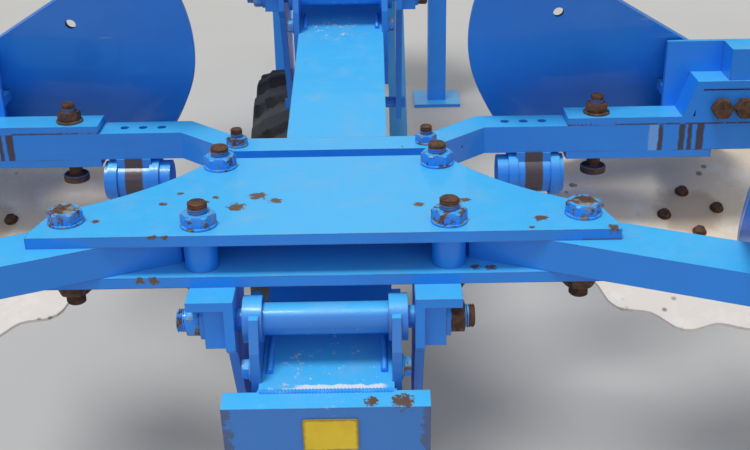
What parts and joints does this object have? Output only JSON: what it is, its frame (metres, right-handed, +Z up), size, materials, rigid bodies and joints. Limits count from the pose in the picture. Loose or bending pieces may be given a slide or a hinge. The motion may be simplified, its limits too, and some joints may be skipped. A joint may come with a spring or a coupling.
{
  "type": "reversible mouldboard plough",
  "caption": "Reversible mouldboard plough: a swung square beam with pairs of curved boards on bent legs, skimmers, notched discs, a depth wheel and a turnover headstock.",
  "frame": {"origin": "on the ground under the middle of the whole plough, between the wheel and the parking legs", "axes": "+Y is the direction of travel and the longest extent, +X the right side, +Z up"},
  "size_m": [1.616, 4.223, 1.9223],
  "materials": {
    "blue_paint": "sky blue paint, chipped and rusted along its edges",
    "board_paint": "deep blue paint over a rolled board",
    "worn_steel": "dark worn steel",
    "rod_steel": "ground and plated rod",
    "disc_paint": "cream paint over a notched disc",
    "rim_paint": "light grey paint on a pressed rim",
    "tyre": "black rubber with tread blocks"
  },
  "bodies": {
    "headstock": {"headstock": "blue_paint", "cross_shaft": "worn_steel", "turnover_cylinder": "blue_paint"},
    "parking_left": {"parking_leg_left": "blue_paint"},
    "parking_right": {"parking_leg_right": "blue_paint"},
    "turnover_rod": {"turnover_rod": "rod_steel"},
    "turning_frame": {"turning_frame": "blue_paint"},
    "beam": {"beam": "blue_paint"},
    "steering_rod": {"steering_rod": "blue_paint"},
    "width_cylinder": {"width_cylinder": "blue_paint"},
    "width_rod": {"width_rod": "rod_steel"},
    "wheel_arm": {"wheel_arm": "blue_paint"},
    "wheel": {"wheel_rim": "rim_paint", "wheel_tyre": "tyre"},
    "pair_1": {"pocket_1": "blue_paint", "legs_1": "blue_paint", "yoke_1": "blue_paint", "mouldboards_1": "board_paint", "frogs_1": "blue_paint", "stems_1": "blue_paint", "skimmers_1": "board_paint"},
    "pair_2": {"pocket_2": "blue_paint", "legs_2": "blue_paint", "yoke_2": "blue_paint", "mouldboards_2": "board_paint", "frogs_2": "blue_paint", "stems_2": "blue_paint", "skimmers_2": "board_paint"},
    "pair_3": {"pocket_3": "blue_paint", "legs_3": "blue_paint", "yoke_3": "blue_paint", "mouldboards_3": "board_paint", "frogs_3": "blue_paint", "stems_3": "blue_paint", "skimmers_3": "board_paint"},
    "pair_4": {"pocket_4": "blue_paint", "legs_4": "blue_paint", "yoke_4": "blue_paint", "mouldboards_4": "board_paint", "frogs_4": "blue_paint", "stems_4": "blue_paint", "skimmers_4": "board_paint", "disc_carriers": "blue_paint"},
    "disc_left": {"disc_left": "disc_paint"},
    "disc_right": {"disc_right": "disc_paint"}
  },
  "joints": [
    {"name": "parking_leg_left_slide", "type": "slide", "parent": "headstock", "child": "parking_left", "axis": [0, 0, 1], "range_m": [0, 0.35]},
    {"name": "parking_leg_right_slide", "type": "slide", "parent": "headstock", "child": "parking_right", "axis": [0, 0, 1], "range_m": [0, 0.35]},
    {"name": "turnover", "type": "hinge", "parent": "headstock", "child": "turning_frame", "pos_m": [0, 1.89048, 1.40528], "axis": [0, 1, 0], "range_deg": [-90, 90]},
    {"name": "turnover_rod_slide", "type": "slide", "parent": "headstock", "child": "turnover_rod", "axis": [1, 0, 0], "range_m": [-0.16, 0.16]},
    {"name": "beam_swing", "type": "hinge", "parent": "turning_frame", "child": "beam", "pos_m": [0, 1.54848, 1.40528], "axis": [1, 0, 0], "range_deg": [-9, 5]},
    {"name": "steering_rod_swing", "type": "hinge", "parent": "turning_frame", "child": "steering_rod", "pos_m": [0, 1.66848, 1.17528], "axis": [1, 0, 0], "range_deg": [-9, 5]},
    {"name": "width_cylinder_swing", "type": "hinge", "parent": "turning_frame", "child": "width_cylinder", "pos_m": [-0.15, 1.58848, 1.28028], "axis": [1, 0, 0], "range_deg": [-10.5, 6.5]},
    {"name": "width_rod_slide", "type": "slide", "parent": "width_cylinder", "child": "width_rod", "axis": [0, -0.9909, -0.1346], "range_m": [-0.0153, 0.024]},
    {"name": "pair_1_swing", "type": "hinge", "parent": "beam", "child": "pair_1", "pos_m": [0, 0.95587, 1.31142], "axis": [1, 0, 0], "range_deg": [-5, 9]},
    {"name": "pair_2_swing", "type": "hinge", "parent": "beam", "child": "pair_2", "pos_m": [0, 0.10053, 1.17594], "axis": [1, 0, 0], "range_deg": [-5, 9]},
    {"name": "pair_3_swing", "type": "hinge", "parent": "beam", "child": "pair_3", "pos_m": [0, -0.75481, 1.04047], "axis": [1, 0, 0], "range_deg": [-5, 9]},
    {"name": "pair_4_swing", "type": "hinge", "parent": "beam", "child": "pair_4", "pos_m": [0, -1.61014, 0.905], "axis": [1, 0, 0], "range_deg": [-5, 9]},
    {"name": "wheel_arm_swing", "type": "hinge", "parent": "beam", "child": "wheel_arm", "pos_m": [0, 0.37578, 0.89555], "axis": [1, 0, 0], "range_deg": [-5, 10]},
    {"name": "wheel_spin", "type": "hinge", "parent": "wheel_arm", "child": "wheel", "pos_m": [-0.07, -0.30715, 0.38], "axis": [1, 0, 0], "continuous": true},
    {"name": "disc_left_spin", "type": "hinge", "parent": "pair_4", "child": "disc_left", "pos_m": [-0.482, -1.22314, 0.843], "axis": [0, -0.4067, 0.9135], "continuous": true},
    {"name": "disc_right_spin", "type": "hinge", "parent": "pair_4", "child": "disc_right", "pos_m": [0.482, -1.22314, 0.843], "axis": [0, -0.4067, 0.9135], "continuous": true}
  ],
  "couplings": [
    {"joint": "turnover_rod_slide", "follows": "turnover", "m_per_rad": 0.0917},
    {"joint": "steering_rod_swing", "follows": "beam_swing", "ratio": 1},
    {"joint": "width_cylinder_swing", "follows": "beam_swing", "ratio": 0.9398},
    {"joint": "width_rod_slide", "follows": "beam_swing", "m_per_rad": -0.1282},
    {"joint": "pair_1_swing", "follows": "beam_swing", "ratio": -1},
    {"joint": "pair_2_swing", "follows": "beam_swing", "ratio": -1},
    {"joint": "pair_3_swing", "follows": "beam_swing", "ratio": -1},
    {"joint": "pair_4_swing", "follows": "beam_swing", "ratio": -1}
  ]
}
